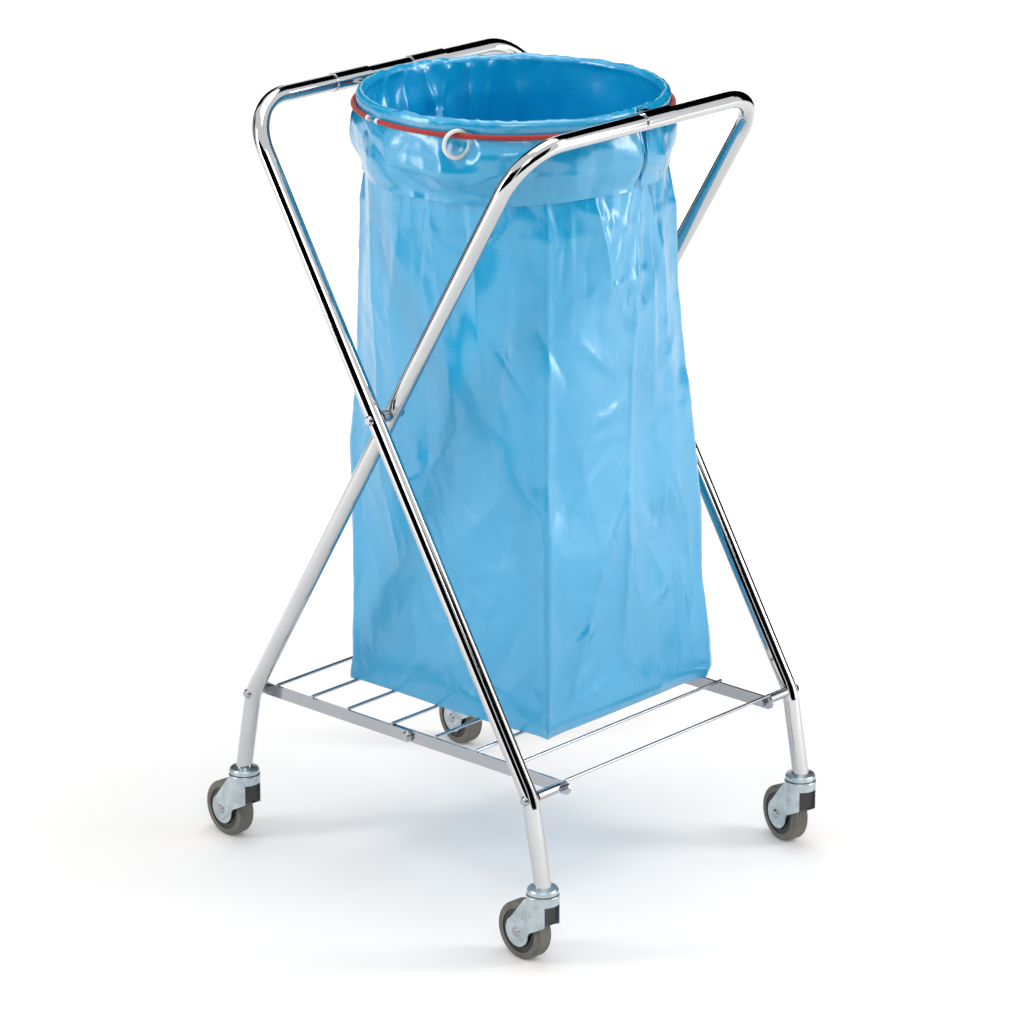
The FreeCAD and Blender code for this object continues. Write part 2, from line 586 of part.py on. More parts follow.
def fork_shape():
    """Pressed fork: round crown, skirt that follows it, plates to the axle."""
    crown_r, low, top = size("crown_dia") / 2, size("crown_low"), size("crown_top")
    crown = Part.makeCylinder(crown_r, top - low, Vector(0, 0, low))
    crown = crown.makeFillet(1.5, [e for e in crown.Edges if abs(e.BoundBox.ZMin - top) < 0.01
                                   and abs(e.BoundBox.ZMax - top) < 0.01])
    # skirt: a slice of tube under the crown, cut to the fork's side outline
    skirt = Part.makeCylinder(crown_r, low, Vector(0, 0, 0)).cut(
        Part.makeCylinder(crown_r - size("fork_plate"), low, Vector(0, 0, 0)))
    back, skirt_low = size("skirt_back"), size("skirt_low")
    outline = [(crown_r, low), (crown_r, skirt_low + 6), (crown_r - 5, skirt_low),
               (-back, skirt_low - 14), (-back, low)]
    skirt = skirt.common(prism(outline, -crown_r, crown_r))
    # plates: from the crown down to a round end at the axle
    r = size("disc_radius")
    arm = [(-back + 3, low + 3), (-back - 4, low + 3), (-trail - r + 4, WHEEL_R + r / 2),
           (-trail, WHEEL_R - r + 4), (-back + 3, skirt_low - 15)]
    plates = prism(arm, -plate_out, plate_out)
    disc = Part.makeCylinder(r, 2 * plate_out - 2 * size("disc_thick"),
                             Vector(-trail, -plate_out + size("disc_thick"), WHEEL_R), Vector(0, 1, 0))
    body = crown.fuse([skirt, plates.fuse(disc)])
    slot = Part.makeBox(4 * trail, 2 * plate_in, low, Vector(-3 * trail, -plate_in, 0))
    body = body.cut(slot)
    pin = size("kingpin_dia") / 2 + size("wheel_play")
    body = body.cut(Part.makeCylinder(pin, top - low + 1, Vector(0, 0, low)))
    axle = Part.makeCylinder(size("axle_dia") / 2, 2 * crown_r, Vector(-trail, -crown_r, WHEEL_R), Vector(0, 1, 0))
    return body.cut(axle).removeSplitter()


def guard_shape():
    """Black plastic block that fills the fork's open side."""
    front = math.sqrt((size("crown_dia") / 2 - size("fork_plate")) ** 2 - plate_in ** 2)
    wide = plate_in - size("side_gap") / 3
    low, top = size("guard_low"), size("crown_low")
    points = [(front, low), (front, top), (front - size("guard_length"), top),
              (front - size("guard_length"), low + 8), (front - size("guard_length") + 2, low)]
    return prism(points, -wide, wide)


def axle_shapes():
    """Axle bolt with a head on one side and a nut on the other."""
    at = Vector(-trail, -plate_out, WHEEL_R)
    y = Vector(0, 1, 0)
    shank = Part.makeCylinder(size("axle_dia") / 2, 2 * plate_out + size("axle_head"), at, y)
    head = Part.makeCone(size("axle_head_dia") / 3, size("axle_head_dia") / 2, size("axle_head"),
                         at - y * size("axle_head"), y)
    ring = Part.makeCylinder(size("axle_head_dia") / 2, size("axle_head"), at + y * 2 * plate_out, y).cut(
        Part.makeCylinder(size("axle_dia") / 2, size("axle_head"), at + y * 2 * plate_out, y))
    return [shank.fuse(head), ring]


def rim_edges(shape, radius):
    return [e for e in shape.Edges if isinstance(e.Curve, Part.Circle) and abs(e.Curve.Radius - radius) < 0.01]


def wheel_shapes():
    """Tyre with rounded shoulders on a dished hub that turns on the axle."""
    y = Vector(0, 1, 0)
    at = Vector(-trail, 0, WHEEL_R)

    def drum(radius, width):
        return Part.makeCylinder(radius, width, at - y * width / 2, y)

    hub_r = WHEEL_R - size("tyre_depth")
    tyre = drum(WHEEL_R, size("tread_width"))
    tyre = tyre.makeFillet(size("tyre_round"), rim_edges(tyre, WHEEL_R)).cut(drum(hub_r, size("tread_width")))
    hub = drum(hub_r, size("hub_width"))
    depth = size("hub_dish")
    for sign in (-1, 1):
        face = at + y * (sign * size("hub_width") / 2)
        hub = hub.cut(Part.makeCylinder(size("hub_dish_dia") / 2, depth, face, y * -sign))
    boss = drum(size("boss_dia") / 2, 2 * plate_in - 4 * size("side_gap"))
    bore = drum(size("axle_dia") / 2 + size("wheel_play"), 2 * plate_in)
    return tyre, hub.fuse(boss).cut(bore).removeSplitter()


for word, sx, y, angle in FEET:
    base = Vector(sx * size("foot_half_gap"), y, 0)
    tyre, hub = wheel_shapes()
    feature(word + "_castor_cup", cup_shape(), base, angle)
    feature(word + "_castor_fork", fork_shape(), base, angle)
    feature(word + "_castor_guard", guard_shape(), base, angle)
    feature(word + "_castor_axle", Part.makeCompound(axle_shapes()), base, angle)
    feature(word + "_castor_tyre", tyre, base, angle)
    feature(word + "_castor_hub", hub, base, angle)

doc.recompute()

for obj in doc.Objects:
    if "Invalid" in obj.State or "Error" in obj.State:
        raise RuntimeError("%s did not compute: %s" % (obj.Label, obj.State))
for obj in made:
    if obj.Shape.isNull() or not obj.Shape.isValid() or not obj.Shape.Solids:
        raise RuntimeError("%s has no valid solid" % obj.Label)

os.makedirs("parts", exist_ok=True)
for obj in made:
    obj.Shape.exportStep("parts/%s.step" % obj.Label)
box = FreeCAD.BoundBox()
for obj in made:
    box.add(obj.Shape.BoundBox)
print("sub-parts", len(made), "box", box)
for obj in made:
    b = obj.Shape.BoundBox
    print("%-22s %3d solids  x %8.2f %8.2f  y %8.2f %8.2f  z %8.2f %8.2f  %.1f cm3" % (
        obj.Label, len(obj.Shape.Solids), b.XMin, b.XMax, b.YMin, b.YMax, b.ZMin, b.ZMax, obj.Shape.Volume / 1000))
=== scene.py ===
import math

import bpy
import numpy as np
from mathutils import Matrix, Vector


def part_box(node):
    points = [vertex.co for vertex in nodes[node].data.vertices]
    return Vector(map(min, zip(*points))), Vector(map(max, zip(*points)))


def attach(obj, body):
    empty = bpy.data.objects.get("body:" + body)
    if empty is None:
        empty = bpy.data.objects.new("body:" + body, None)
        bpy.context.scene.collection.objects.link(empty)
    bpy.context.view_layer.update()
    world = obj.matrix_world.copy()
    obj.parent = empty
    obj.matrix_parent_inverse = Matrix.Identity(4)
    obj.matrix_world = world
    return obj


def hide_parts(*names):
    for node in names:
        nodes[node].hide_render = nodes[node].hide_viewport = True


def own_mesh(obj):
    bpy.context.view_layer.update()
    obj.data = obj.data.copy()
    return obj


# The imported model, in metres with Z up. Every piece below is placed from it.
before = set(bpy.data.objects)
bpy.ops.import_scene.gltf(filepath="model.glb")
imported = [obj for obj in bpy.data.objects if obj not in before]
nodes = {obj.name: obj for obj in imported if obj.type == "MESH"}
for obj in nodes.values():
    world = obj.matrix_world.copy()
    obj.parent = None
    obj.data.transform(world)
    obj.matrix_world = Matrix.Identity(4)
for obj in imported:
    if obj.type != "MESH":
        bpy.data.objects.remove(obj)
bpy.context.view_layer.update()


# The two bent frames, and the ring's rod with its brackets and clip: steel,
# polished and chromed. The plating mirrors the room, with a faint waviness
# from the bending and a few dull smudges.
def new_material(name, color, metallic=0.0, roughness=0.4, **inputs):
    mat = bpy.data.materials.new(name)
    mat.use_nodes = True
    shader = mat.node_tree.nodes["Principled BSDF"]
    shader.inputs["Base Color"].default_value = (*color, 1)
    shader.inputs["Metallic"].default_value = metallic
    shader.inputs["Roughness"].default_value = roughness
    for key, value in inputs.items():
        shader.inputs[key.replace("_", " ")].default_value = value
    return mat


def add(mat, kind, **values):
    node = mat.node_tree.nodes.new(kind)
    for key, value in values.items():
        if hasattr(node, key):
            setattr(node, key, value)
        else:
            node.inputs[key.replace("_", " ")].default_value = value
    return node


def link(mat, a, out, b, into):
    mat.node_tree.links.new(a.outputs[out], b.inputs[into])


def stretched(mat, stretch=(1, 1, 1)):
    """The piece's own coordinates, stretched."""
    coords = add(mat, "ShaderNodeTexCoord")
    mapping = add(mat, "ShaderNodeMapping", Scale=stretch)
    link(mat, coords, "Object", mapping, "Vector")
    return mapping


def cloudy(mat, scale, detail=3.0, rough=0.55, stretch=(1, 1, 1), distort=0.0):
    node = add(mat, "ShaderNodeTexNoise", Scale=scale, Detail=detail, Roughness=rough, Distortion=distort)
    link(mat, stretched(mat, stretch), "Vector", node, "Vector")
    return node


def graded(mat, source, out, low, high, from_low=0.3, from_high=0.7):
    node = add(mat, "ShaderNodeMapRange")
    for i, value in enumerate((from_low, from_high, low, high), start=1):
        node.inputs[i].default_value = value
    link(mat, source, out, node, 0)
    return node


def roughness_from(mat, source, low, high):
    shader = mat.node_tree.nodes["Principled BSDF"]
    link(mat, graded(mat, source, "Fac", low, high), "Result", shader, "Roughness")


def color_from(mat, source, colors):
    ramp = add(mat, "ShaderNodeValToRGB")
    ramp.color_ramp.elements[0].position = 0.3
    ramp.color_ramp.elements[1].position = 0.7
    for element, color in zip(ramp.color_ramp.elements, colors):
        element.color = (*color, 1)
    link(mat, source, "Fac", ramp, "Fac")
    link(mat, ramp, "Color", mat.node_tree.nodes["Principled BSDF"], "Base Color")
    return ramp


def bump_from(mat, source, strength, distance, out="Fac", before=None):
    bump = add(mat, "ShaderNodeBump", Strength=strength, Distance=distance)
    link(mat, source, out, bump, "Height")
    if before is not None:
        link(mat, before, "Normal", bump, "Normal")
    link(mat, bump, "Normal", mat.node_tree.nodes["Principled BSDF"], "Normal")
    return bump


def plated(name, color, rough_low, rough_high, wobble):
    mat = new_material(name, color, 1.0, rough_low)
    roughness_from(mat, cloudy(mat, 22, 5, 0.6), rough_low, rough_high)
    color_from(mat, cloudy(mat, 14, 3), [tuple(0.94 * c for c in color), color])
    waves = bump_from(mat, cloudy(mat, 9, 2, 0.4), wobble, 0.002)
    bump_from(mat, cloudy(mat, 900, 2, 0.5), 0.02, 0.0002, before=waves)
    return mat


def finish(mat, *ends):
    """Gives a finish to every node whose name ends so."""
    for name, node in nodes.items():
        if name.endswith(ends):
            node.data.materials.clear()
            node.data.materials.append(mat)


finish(plated("tube_chrome", (0.55, 0.56, 0.57), 0.03, 0.09, 0.02),
       "_frame_tube", "ring_bracket_near", "ring_bracket_far", "ring_clip", "ring_rod")

# Bolts, nuts and spacer tubes that hold the legs and the shelf together:
# small steel parts with a duller plating, as are the castors' axles.
finish(plated("bolt_plating", (0.42, 0.44, 0.47), 0.12, 0.28, 0.10),
       "_bolts", "_nuts", "_spacers", "band_hook", "_castor_axle")

# The fold-up shelf: two halves of flat strips with round wires welded across
# them, plated after welding, so the shine is broken and a little grey.
finish(plated("shelf_chrome", (0.40, 0.42, 0.45), 0.07, 0.18, 0.16),
       "_strip_near", "_strip_far", "_wires", "stop_wire")

# Castors: forks and cups pressed from sheet steel, in blue-white zinc that
# has a spangled, slightly uneven surface.
zinc = new_material("zinc_plate", (0.50, 0.58, 0.62), 0.92, 0.3)
color_from(zinc, cloudy(zinc, 60, 4, 0.6), [(0.36, 0.43, 0.47), (0.58, 0.65, 0.68)])
roughness_from(zinc, cloudy(zinc, 150, 4, 0.6), 0.24, 0.44)
bump_from(zinc, cloudy(zinc, 420, 3, 0.6), 0.15, 0.0003)
finish(zinc, "_castor_cup", "_castor_fork")

# Tyres: grey-brown rubber that doesn't mark the floor, dull all over and a
# little dusty on the tread.
tyre = new_material("tyre_tread", (0.15, 0.14, 0.115), 0.0, 0.6)
color_from(tyre, cloudy(tyre, 45, 5, 0.65), [(0.085, 0.080, 0.066), (0.170, 0.160, 0.135)])
roughness_from(tyre, cloudy(tyre, 90, 4), 0.45, 0.72)
bump_from(tyre, cloudy(tyre, 700, 3, 0.6), 0.25, 0.0003)
finish(tyre, "_castor_tyre")

# Hubs and the guards in the open side of the forks: black plastic, moulded,
# with a fine grain.
moulded = new_material("hub_moulding", (0.012, 0.012, 0.014), 0.0, 0.38)
color_from(moulded, cloudy(moulded, 60, 4), [(0.008, 0.008, 0.010), (0.028, 0.028, 0.030)])
roughness_from(moulded, cloudy(moulded, 120, 3), 0.30, 0.50)
bump_from(moulded, cloudy(moulded, 1200, 2), 0.12, 0.0002)
finish(moulded, "_castor_hub", "_castor_guard")

# The bag: thin blue film, pulled up through the ring, folded over the rod and
# let down outside as a cuff. It hangs round from the ring and stands square
# on the shelf. One surface, in rows from the hem to the middle of the foot.
MM = 0.001
ring_lo, ring_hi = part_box("ring_rod")
RING = (ring_lo + ring_hi) / 2
ROD_R = (ring_hi.z - ring_lo.z) / 2
RING_R = (ring_hi.y - ring_lo.y) / 2 - ROD_R
BAND_Z = sum(c.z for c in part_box("elastic_band")) / 2
SHELF_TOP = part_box("right_wires")[1].z
FILM_GAP = 1.0 * MM
FOOT_LEFT, FOOT_RIGHT, FOOT_FRONT, FOOT_BACK = -163 * MM, 158 * MM, -114 * MM, 180 * MM
FOOT_Z = SHELF_TOP + FILM_GAP
HEM_Z = RING.z - 90 * MM
HUNG_R = RING_R - ROD_R - FILM_GAP
HUNG_Z = RING.z - 6 * MM
COLUMNS = 480
theta = np.arange(COLUMNS) / COLUMNS * 2 * math.pi
turns = theta / (2 * math.pi)
round_top = np.stack([np.cos(theta), np.sin(theta)], 1)


def smooth(x, low, high):
    q = np.clip((x - low) / (high - low), 0, 1)
    return q * q * (3 - 2 * q)


def around(a, b):
    """Signed angle from b to a."""
    return (a - b + math.pi) % (2 * math.pi) - math.pi


def swell(u, v, across, along, seed):
    """Smooth noise from -1 to 1 that meets itself round the bag."""
    values = np.random.RandomState(seed).uniform(-1, 1, (across, along + 2))
    x, y = u * across, np.clip(v, 0, 1) * along
    i, j = np.floor(x).astype(int), np.floor(y).astype(int)
    a, b = x - i, y - j
    a, b = a * a * (3 - 2 * a), b * b * (3 - 2 * b)
    i0, i1 = i % across, (i + 1) % across
    j1 = np.minimum(j + 1, along + 1)
    return ((values[i0, j] * (1 - a) + values[i1, j] * a) * (1 - b)
            + (values[i0, j1] * (1 - a) + values[i1, j1] * a) * b)


def facets(u, v, across, along, seed, warp=0.6):
    """Flat three-cornered facets with sharp creases between them, from -1 to 1."""
    source = np.random.RandomState(seed)
    values = source.uniform(-1, 1, (across, along + 3))
    slant = source.randint(0, 2, (across, along + 3)).astype(bool)
    u, v = np.broadcast_arrays(u, np.clip(v, 0, 1))
    bend = swell(u, v, max(3, across // 3), max(2, along // 2), seed + 1)
    x, y = u * across + warp * bend, v * along + 0.5 + 0.4 * warp * bend[::-1]
    i, j = np.floor(x).astype(int), np.clip(np.floor(y).astype(int), 0, along + 1)
    a, b = x - np.floor(x), np.clip(y - j, 0, 1)
    i0, i1 = i % across, (i + 1) % across
    v00, v10, v01, v11 = values[i0, j], values[i1, j], values[i0, j + 1], values[i1, j + 1]
    up = np.where(a + b < 1, v00 + a * (v10 - v00) + b * (v01 - v00),
                  v11 + (1 - a) * (v01 - v11) + (1 - b) * (v10 - v11))
    down = np.where(a > b, v10 + (1 - a) * (v00 - v10) + b * (v11 - v10),
                    v01 + a * (v11 - v01) + (1 - b) * (v00 - v01))
    return np.where(slant[i0, j], up, down)


# The foot's outline, each side shared out between its corners' directions
corners = [(FOOT_RIGHT, FOOT_FRONT), (FOOT_RIGHT, FOOT_BACK), (FOOT_LEFT, FOOT_BACK), (FOOT_LEFT, FOOT_FRONT)]
corner_angles = [math.atan2(y, x) for x, y in corners]
foot = np.zeros((COLUMNS, 2))
for k in range(4):
    start = corner_angles[k]
    reach = (corner_angles[(k + 1) % 4] - start) % (2 * math.pi)
    share = ((theta - start) % (2 * math.pi)) / reach
    inside = share < 1
    a, b = np.array(corners[k]), np.array(corners[(k + 1) % 4])
    foot[inside] = a + (b - a) * share[inside][:, None]
soften = np.exp(-0.5 * (np.fft.fftfreq(COLUMNS) * COLUMNS * 0.011) ** 2)
foot = np.stack([np.fft.ifft(np.fft.fft(foot[:, i]) * soften).real for i in (0, 1)], 1)
to_corner = np.min([np.abs(around(theta, c)) for c in corner_angles], axis=0)

# Creases in the walls: from one direction in degrees and height in mm to
# another, then how far the crease stands out and its half-width, in mm
CREASES = [
    # right side, under the clip
    (-15, 858, -6, 745, 5.0, 9), (6, 862, -4, 775, 5.0, 8), (16, 862, 30, 770, 4.5, 9),
    (-22, 850, 4, 812, 3.5, 7), (-17, 742, 16, 752, 3.5, 5), (-8, 780, 2, 690, -4.0, 12),
    (12, 850, 8, 700, 5.0, 7), (8, 700, 5, 520, 4.0, 7), (5, 520, 2, 300, 5.0, 6),
    (20, 840, 22, 560, 3.0, 11), (30, 830, 36, 540, 2.5, 12), (-2, 640, -22, 690, 3.0, 6),
    (-14, 585, 2, 600, 3.5, 5), (4, 480, -10, 400, 3.5, 7), (-10, 400, -24, 255, 3.5, 7),
    (-28, 300, -12, 345, 3.0, 6), (-30, 240, -10, 300, 4.5, 6), (-33, 228, -4, 262, 3.5, 6),
    (0, 300, 14, 240, 3.0, 7), (14, 430, 26, 360, 2.5, 9), (30, 520, 40, 430, 2.5, 9),
    (34, 400, 40, 260, 2.5, 9), (12, 330, 30, 352, 2.0, 6), (24, 620, 38, 648, 2.5, 6),
    # left side
    (-66, 862, -64, 640, 3.5, 11), (-84, 862, -80, 690, 4.0, 11), (-96, 850, -112, 700, 4.0, 13),
    (-112, 700, -104, 560, 3.0, 12), (-124, 860, -122, 480, 3.0, 10), (-46, 842, -66, 792, 3.0, 7),
    (-48, 800, -58, 600, -3.5, 16), (-60, 640, -92, 520, 3.0, 12), (-92, 520, -120, 470, 2.5, 10),
    (-56, 500, -82, 430, 2.0, 8), (-50, 420, -78, 392, 2.0, 7), (-48, 350, -62, 280, -3.5, 14),
    (-44, 300, -58, 252, 2.5, 9), (-100, 420, -128, 340, 2.5, 12), (-70, 300, -96, 262, 2.0, 9),
    # far sides
    (70, 860, 74, 500, 4.0, 13), (100, 860, 98, 440, 4.0, 13), (122, 850, 120, 360, 3.0, 11),
    (160, 850, 154, 400, 4.0, 13), (176, 860, 178, 500, 3.0, 13), (-160, 850, -164, 420, 4.0, 13),
    (60, 360, 84, 260, 3.0, 9), (110, 280, 90, 400, 3.0, 9), (160, 260, 180, 360, 3.0, 9),
    # gathers inside, at the far left of the mouth
    (141, 946, 147, 830, -10, 7), (150, 946, 152, 850, -12, 6), (160, 946, 170, 830, -12, 7),
    (171, 946, 165, 860, -10, 6), (181, 946, 188, 830, -10, 7), (132, 946, 128, 870, -7, 6),
    (193, 946, 200, 860, -8, 7), (154, 925, 175, 880, 6, 6), (120, 946, 116, 900, -5, 6),
    (205, 946, 210, 880, -6, 7),
]
faint = np.random.RandomState(41)
for _ in range(150):
    at, high = faint.uniform(-180, 180), faint.uniform(240, 900)
    lean, length = faint.uniform(-1.3, 1.3), faint.uniform(25, 100)
    at_end, low = at + math.degrees(length * math.sin(lean) / 180), high - length * math.cos(lean)
    height = faint.uniform(0.8, 2.2) * faint.choice([-1, 1])
    CREASES.append((at, high, at_end, low, height, faint.uniform(2.5, 5.5)))


def creases_at(z):
    """How far the wall stands out or in along one row."""
    rise = np.zeros(COLUMNS)
    for a0, z0, a1, z1, height, width in CREASES:
        z0, z1, width = z0 * MM, z1 * MM, width * MM
        if z > max(z0, z1) + 5 * width or z < min(z0, z1) - 5 * width:
            continue
        run = math.radians(a1 - a0) * RING_R
        s = around(theta, math.radians(a0)) * RING_R
        q = np.clip((s * run + (z - z0) * (z1 - z0)) / (run ** 2 + (z1 - z0) ** 2), 0, 1)
        off = np.hypot(s - q * run, z - z0 - q * (z1 - z0)) / width
        rise += height * MM * np.exp(-off) * (0.35 + 0.65 * np.sin(math.pi * np.clip(q, 0.08, 0.92)))
    return rise


# The flat bag was folded for its packet, which leaves straight lines
PACKET_LEVELS = [815 * MM, 566 * MM, 318 * MM]


def wall_row(z):
    """One level of the walls."""
    t = np.clip((HUNG_Z - z) / (HUNG_Z - FOOT_Z), 0, 1)
    level = np.full(COLUMNS, t)
    line = round_top * HUNG_R * (1 - t) + foot * t
    tangent = np.roll(line, -1, axis=0) - np.roll(line, 1, axis=0)
    out = np.stack([tangent[:, 1], -tangent[:, 0]], 1)
    out /= np.linalg.norm(out, axis=1)[:, None]
    free = smooth(level, 0.0, 0.05) * (1 - 0.7 * smooth(level, 0.96, 1.0))
    belly = math.sin(math.pi * min(1, t * 1.02)) ** 0.7
    rise = 5.0 * MM * np.exp(-to_corner * RING_R / 0.012) * smooth(level, 0.04, 0.2)
    rise += (3.0 - 5.5 * smooth(to_corner, 0.06, 0.6)) * MM * belly
    rise += creases_at(z) * np.maximum(free, 0.6 * np.exp(-t / 0.1))
    rise += 4.2 * MM * swell(turns, level, 12, 5, 3) * free
    rise += 2.4 * MM * facets(turns, level, 42, 2, 11) * free * smooth(-level, -0.5, -0.1)
    rise += 3.4 * MM * facets(turns, level, 22, 8, 5) * free
    crumpled = smooth(swell(turns, level, 11, 7, 8), -0.4, 0.4)
    rise += 1.3 * MM * facets(turns, level, 50, 22, 7) * free * crumpled
    for fold in PACKET_LEVELS:
        sway = 1.5 * MM * swell(turns, np.full(COLUMNS, fold), 7, 1, 9)
        rise += 0.9 * MM * np.exp(-np.abs(z - fold - sway) / (2.2 * MM))
    gather = np.exp(-t / 0.05)
    rise += 1.6 * MM * facets(turns, level * 6, 58, 3, 12) * gather * smooth(level, -0.02, 0.02)
    # the foot's right edge is turned under
    under = smooth(math.radians(80) - np.abs(around(theta, math.radians(12))), 0, 0.5)
    rise -= 6.0 * MM * under * smooth(np.full(COLUMNS, -z), -FOOT_Z - 15 * MM, -FOOT_Z)
    flat = line + out * rise[:, None]
    return np.column_stack([flat, np.full(COLUMNS, z)])


# Where the ring's straps pass, the film lies over them and the cuff parts
clip = sum(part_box("ring_clip"), Vector()) / 2 - RING
near_strap = sum(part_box("ring_bracket_near"), Vector()) / 2 - RING
far_strap = sum(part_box("ring_bracket_far"), Vector()) / 2 - RING
STRAPS = [(math.asin(clip.y / RING_R), math.radians(2.3), 1.0),
          (math.pi - math.asin(far_strap.y / RING_R), math.radians(3.0), 0.0),
          (math.pi - math.asin(near_strap.y / RING_R), math.radians(3.0), 0.0)]
OPENING = math.radians(1.4)
CLOSES_IN = 34 * MM
parted = np.zeros(COLUMNS)
lifted = np.zeros(COLUMNS)
for direction, half, lift in STRAPS:
    aside = np.abs(around(theta, direction))
    parted = np.maximum(parted, 1 - smooth(aside, half, half + OPENING))
    lifted = np.maximum(lifted, lift * (1 - smooth(aside, half, half + 0.02)))


def rim_row(turn):
    """Film round the rod: turn 0 is outside, pi/2 on top and pi inside."""
    start = lifted * math.radians(78)
    phi = start + turn * (math.pi - start) / math.pi
    along_rod = np.full(COLUMNS, turn / math.pi)
    wave = 1.3 * MM * (1 + facets(turns, along_rod, 96, 2, 21))
    wave = wave + 0.5 * MM * (1 + facets(turns, along_rod, 150, 3, 24))
    wave += 0.7 * MM * np.maximum(0, swell(turns, along_rod, 19, 2, 22))
    wide = ROD_R + FILM_GAP + wave * np.where(phi < math.pi / 2, 0.3, 0.6)
    tall = ROD_R + FILM_GAP + wave * 1.1
    c, s = np.cos(phi), np.sin(phi)
    boxy_c, boxy_s = np.sign(c) * np.sqrt(np.abs(c)), np.sqrt(np.abs(s))
    dr = (1 - lifted) * wide * c + lifted * (ROD_R + 1.5 * MM) * boxy_c
    dz = (1 - lifted) * tall * s + lifted * (ROD_R + 3.3 * MM) * boxy_s
    return np.column_stack([round_top * (RING_R + dr)[:, None], RING.z + dz])


pull = sum(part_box("pull_ring"), Vector()) / 2 - RING
PULL_ANGLE = math.atan2(pull.y, pull.x)
TUBE_DIA = 20 * MM
BESIDE_BAR = RING.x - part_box("outer_frame_tube")[0].x - TUBE_DIA - 2 * MM


def cuff_row(q):
    """Film outside the ring: q 0 is the hem and 1 is level with the rod."""
    top = rim_row(0.0)
    hem = HEM_Z + 4.5 * MM * swell(turns, 0.5 * np.ones(COLUMNS), 9, 1, 31)
    hem += 2.0 * MM * swell(turns, 0.5 * np.ones(COLUMNS), 34, 1, 32)
    hem += (top[:, 2] - 1.2 * MM - hem) * parted ** 0.6
    z = hem + (top[:, 2] - hem) * q
    down = np.clip((BAND_Z - z) / (BAND_Z - HEM_Z), 0, 1)
    # blown out under the band, drawn in again at the hem
    bulge = 9.5 * MM * (0.8 + 0.4 * swell(turns, 0.5 * np.ones(COLUMNS), 12, 1, 33))
    r = RING_R + ROD_R + 0.6 * MM + bulge * np.exp(-(np.abs(z - RING.z + 43 * MM) / (25 * MM)) ** 3)
    r -= 2.6 * MM * smooth(down, 0.55, 0.95)
    free = smooth(down, 0.03, 0.25)
    r += 3.2 * MM * facets(turns, down * 0.5, 44, 2, 34, warp=0.3) * free * (1 - 0.5 * smooth(down, 0.6, 1.0))
    r += 3.8 * MM * facets(turns, down, 25, 3, 35, warp=0.4) * free
    r += 0.7 * MM * facets(turns, down, 64, 6, 37) * free
    r += 0.8 * MM * swell(turns, down, 24, 5, 36) * free
    wall = np.linalg.norm(wall_row(HEM_Z)[:, :2], axis=1)
    near_wall = smooth(down, 0.7, 1.0)
    r = np.maximum(r - 3.0 * MM * near_wall, np.minimum(wall + 1.5 * MM, r + 6 * MM))
    # the pull ring's inner side presses the cuff in
    side = around(theta, PULL_ANGLE)
    dent = np.exp(-((side - 0.04) / 0.075) ** 2) * np.exp(-((z - pull.z - RING.z) / 0.019) ** 2)
    r = np.minimum(r, r + (RING_R + ROD_R + 1.0 * MM - r) * dent) - 5.0 * MM * dent
    top_r = np.linalg.norm(top[:, :2], axis=1)
    r += (top_r - r) * smooth(np.maximum(np.full(COLUMNS, q), parted ** 0.5), 0.90, 1.0)
    # beside a strap the two edges swing together lower down
    angle = theta.copy()
    for direction, half, _ in STRAPS:
        aside = around(theta, direction)
        pull_in = 0.96 * (half + OPENING) * np.exp(-np.maximum(np.abs(aside) - half, 0) / 0.10)
        angle -= np.sign(aside) * np.minimum(pull_in, np.abs(aside)) * smooth(BAND_Z - z, 0.0, CLOSES_IN)
    # the ring hinges on the left bar, so the cuff keeps clear of it there
    r = np.minimum(r, BESIDE_BAR / np.maximum(-np.cos(angle), 0.5))
    return np.column_stack([np.cos(angle) * r, np.sin(angle) * r, z])


rows = [cuff_row(q) for q in np.linspace(0, 1, 34)]
rows += [rim_row(a) for a in np.linspace(0, math.pi, 12)[1:]]
rows += [wall_row(z) for z in np.linspace(RING.z - 2 * MM, FOOT_Z + 2 * MM, 118)]
foot_edge = wall_row(FOOT_Z + FILM_GAP)
foot_middle = np.array([(FOOT_LEFT + FOOT_RIGHT) / 2, (FOOT_FRONT + FOOT_BACK) / 2, FOOT_Z])
for q in np.linspace(0.004, 0.97, 9):
    row = foot_edge + (foot_middle - foot_edge) * q
    row[:, 2] = FOOT_Z + 0.8 * MM * np.abs(swell(turns, np.full(COLUMNS, q), 20, 6, 51)) * q
    rows.append(row)
points = np.concatenate(rows + [foot_middle[None, :]])
points[:, :2] += np.array([RING.x, RING.y])
faces = []
for j in range(len(rows) - 1):
    for i in range(COLUMNS):
        k = (i + 1) % COLUMNS
        faces.append((j * COLUMNS + i, j * COLUMNS + k, (j + 1) * COLUMNS + k, (j + 1) * COLUMNS + i))
end = (len(rows) - 1) * COLUMNS
faces += [(end + i, end + (i + 1) % COLUMNS, len(points) - 1) for i in range(COLUMNS)]
bag_mesh = bpy.data.meshes.new("bag_film")
bag_mesh.from_pydata([tuple(p) for p in points], [], faces)
bag_mesh.update()
bag_mesh.shade_smooth()
bag = bpy.data.objects.new("bag_film", bag_mesh)
bpy.context.scene.collection.objects.link(bag)

